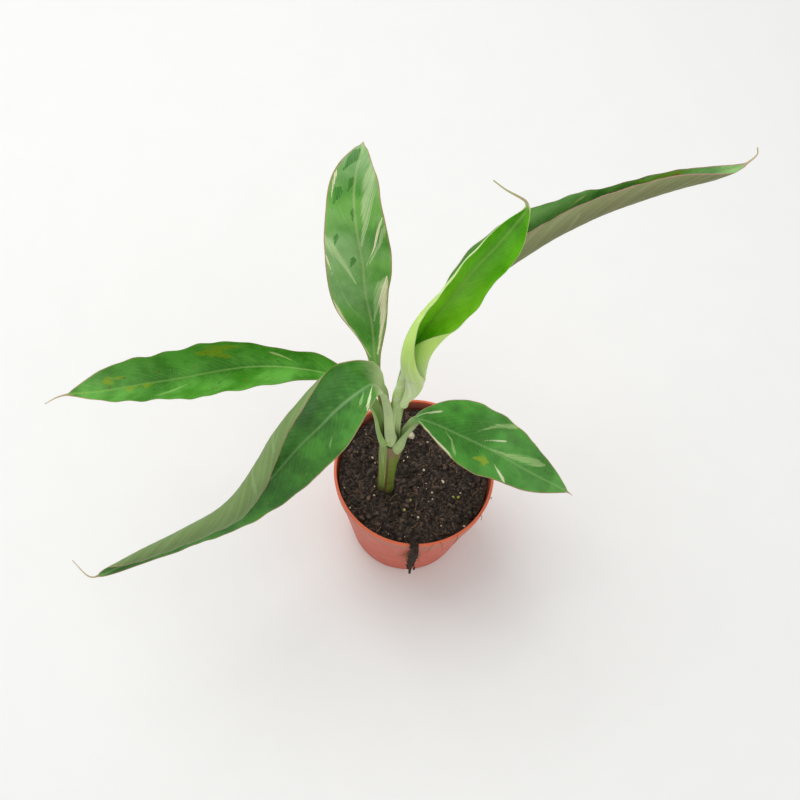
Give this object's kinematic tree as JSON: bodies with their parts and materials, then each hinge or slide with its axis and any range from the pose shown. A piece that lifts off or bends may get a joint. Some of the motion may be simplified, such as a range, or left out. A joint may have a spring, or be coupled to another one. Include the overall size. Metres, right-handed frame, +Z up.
{
  "type": "potted pink variegated banana plant",
  "caption": "Young variegated banana plant with broad arching and rolled leaves on one sheathed stem, rooted in dark soil in a round tapered nursery pot.",
  "frame": {"origin": "centre of the pot's flat foot, on the surface that the pot stands on", "axes": "+Z up along the pot's axis; -Y towards the plant's front, the side it is usually seen from; +X to the right of that view"},
  "size_m": [0.4508, 0.3137, 0.3969],
  "materials": {
    "pot": "satin",
    "soil": "matte",
    "root": "matte",
    "stem": "satin",
    "leaf": "satin",
    "leaf_young": "satin"
  },
  "bodies": {
    "root": {"pot": "pot", "soil": "soil", "root_strand": "root", "pseudostem": "stem", "leaf_lower_right": "leaf", "leaf_left": "leaf", "leaf_back": "leaf", "leaf_front": "leaf", "leaf_right": "leaf", "leaf_new": "leaf_young"}
  },
  "joints": []
}
